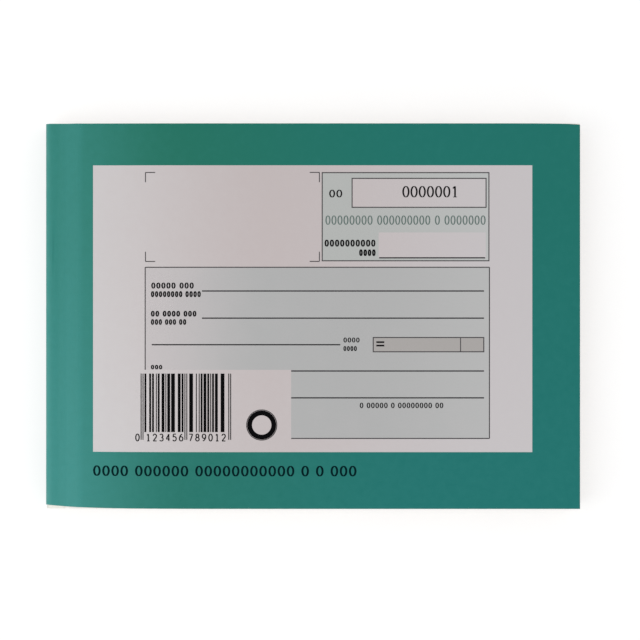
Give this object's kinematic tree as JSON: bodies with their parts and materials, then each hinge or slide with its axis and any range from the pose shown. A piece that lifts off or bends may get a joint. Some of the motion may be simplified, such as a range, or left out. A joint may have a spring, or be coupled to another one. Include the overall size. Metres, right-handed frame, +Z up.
{
  "type": "carbonless receipt book",
  "caption": "Carbonless triplicate receipt book: side-stapled sets of perforated leaves in a wrap of printed card, with turning leaves, tear-off slips and a loose shield card.",
  "frame": {"origin": "middle of the underside of the closed book", "axes": "+X from the spine to the fore edge, +Y from the foot of the form to its head, +Z up through the front cover"},
  "size_m": [0.1876, 0.135, 0.013],
  "materials": {
    "cover_card": "satin",
    "binding_glue": "satin",
    "packed_paper": "matte",
    "grey_board": "matte",
    "shield_card": "matte",
    "original_paper": "matte",
    "duplicate_paper": "matte",
    "triplicate_paper": "matte",
    "staple_wire": "satin"
  },
  "bodies": {
    "book_back": {"cover_wrap": "cover_card", "binding_glue": "binding_glue", "bound_edge": "packed_paper", "back_board": "grey_board", "head_staple": "staple_wire", "foot_staple": "staple_wire", "lower_sets": "packed_paper"},
    "middle_sets": {"middle_sets": "packed_paper"},
    "triplicate_3": {"triplicate_3": "triplicate_paper"},
    "duplicate_3": {"duplicate_3_stub": "duplicate_paper"},
    "duplicate_3_slip": {"duplicate_3_slip": "duplicate_paper"},
    "original_3": {"original_3_stub": "original_paper"},
    "original_3_slip": {"original_3_slip": "original_paper"},
    "triplicate_2": {"triplicate_2": "triplicate_paper"},
    "duplicate_2": {"duplicate_2_stub": "duplicate_paper"},
    "duplicate_2_slip": {"duplicate_2_slip": "duplicate_paper"},
    "original_2": {"original_2_stub": "original_paper"},
    "original_2_slip": {"original_2_slip": "original_paper"},
    "writing_shield": {"writing_shield": "shield_card"},
    "triplicate_1": {"triplicate_1": "triplicate_paper"},
    "duplicate_1": {"duplicate_1_stub": "duplicate_paper"},
    "duplicate_1_slip": {"duplicate_1_slip": "duplicate_paper"},
    "original_1": {"original_1_stub": "original_paper"},
    "original_1_slip": {"original_1_slip": "original_paper"},
    "front_cover": {"front_cover": "cover_card"}
  },
  "joints": [
    {"name": "middle_sets_hinge", "type": "hinge", "parent": "book_back", "child": "middle_sets", "pos_m": [-0.08125, 0, 0.01313], "axis": [0, -1, 0], "range_deg": [0, 180]},
    {"name": "triplicate_3_hinge", "type": "hinge", "parent": "middle_sets", "child": "triplicate_3", "pos_m": [-0.08125, 0, 0.01313], "axis": [0, -1, 0], "range_deg": [0, 180]},
    {"name": "duplicate_3_hinge", "type": "hinge", "parent": "triplicate_3", "child": "duplicate_3", "pos_m": [-0.08125, 0, 0.01313], "axis": [0, -1, 0], "range_deg": [0, 180]},
    {"name": "duplicate_3_tear_off", "type": "slide", "parent": "duplicate_3", "child": "duplicate_3_slip", "axis": [1, 0, 0], "range_m": [0, 0.175]},
    {"name": "original_3_hinge", "type": "hinge", "parent": "duplicate_3", "child": "original_3", "pos_m": [-0.08125, 0, 0.01313], "axis": [0, -1, 0], "range_deg": [0, 180]},
    {"name": "original_3_tear_off", "type": "slide", "parent": "original_3", "child": "original_3_slip", "axis": [1, 0, 0], "range_m": [0, 0.175]},
    {"name": "triplicate_2_hinge", "type": "hinge", "parent": "original_3", "child": "triplicate_2", "pos_m": [-0.08125, 0, 0.01313], "axis": [0, -1, 0], "range_deg": [0, 180]},
    {"name": "duplicate_2_hinge", "type": "hinge", "parent": "triplicate_2", "child": "duplicate_2", "pos_m": [-0.08125, 0, 0.01313], "axis": [0, -1, 0], "range_deg": [0, 180]},
    {"name": "duplicate_2_tear_off", "type": "slide", "parent": "duplicate_2", "child": "duplicate_2_slip", "axis": [1, 0, 0], "range_m": [0, 0.175]},
    {"name": "original_2_hinge", "type": "hinge", "parent": "duplicate_2", "child": "original_2", "pos_m": [-0.08125, 0, 0.01313], "axis": [0, -1, 0], "range_deg": [0, 180]},
    {"name": "original_2_tear_off", "type": "slide", "parent": "original_2", "child": "original_2_slip", "axis": [1, 0, 0], "range_m": [0, 0.175]},
    {"name": "writing_shield_pull", "type": "slide", "parent": "original_2", "child": "writing_shield", "axis": [1, 0, 0], "range_m": [0, 0.175]},
    {"name": "triplicate_1_hinge", "type": "hinge", "parent": "original_2", "child": "triplicate_1", "pos_m": [-0.08125, 0, 0.01313], "axis": [0, -1, 0], "range_deg": [0, 180]},
    {"name": "duplicate_1_hinge", "type": "hinge", "parent": "triplicate_1", "child": "duplicate_1", "pos_m": [-0.08125, 0, 0.01313], "axis": [0, -1, 0], "range_deg": [0, 180]},
    {"name": "duplicate_1_tear_off", "type": "slide", "parent": "duplicate_1", "child": "duplicate_1_slip", "axis": [1, 0, 0], "range_m": [0, 0.175]},
    {"name": "original_1_hinge", "type": "hinge", "parent": "duplicate_1", "child": "original_1", "pos_m": [-0.08125, 0, 0.01313], "axis": [0, -1, 0], "range_deg": [0, 180]},
    {"name": "original_1_tear_off", "type": "slide", "parent": "original_1", "child": "original_1_slip", "axis": [1, 0, 0], "range_m": [0, 0.175]},
    {"name": "front_cover_hinge", "type": "hinge", "parent": "original_1", "child": "front_cover", "pos_m": [-0.08125, 0, 0.01313], "axis": [0, -1, 0], "range_deg": [0, 180]}
  ]
}
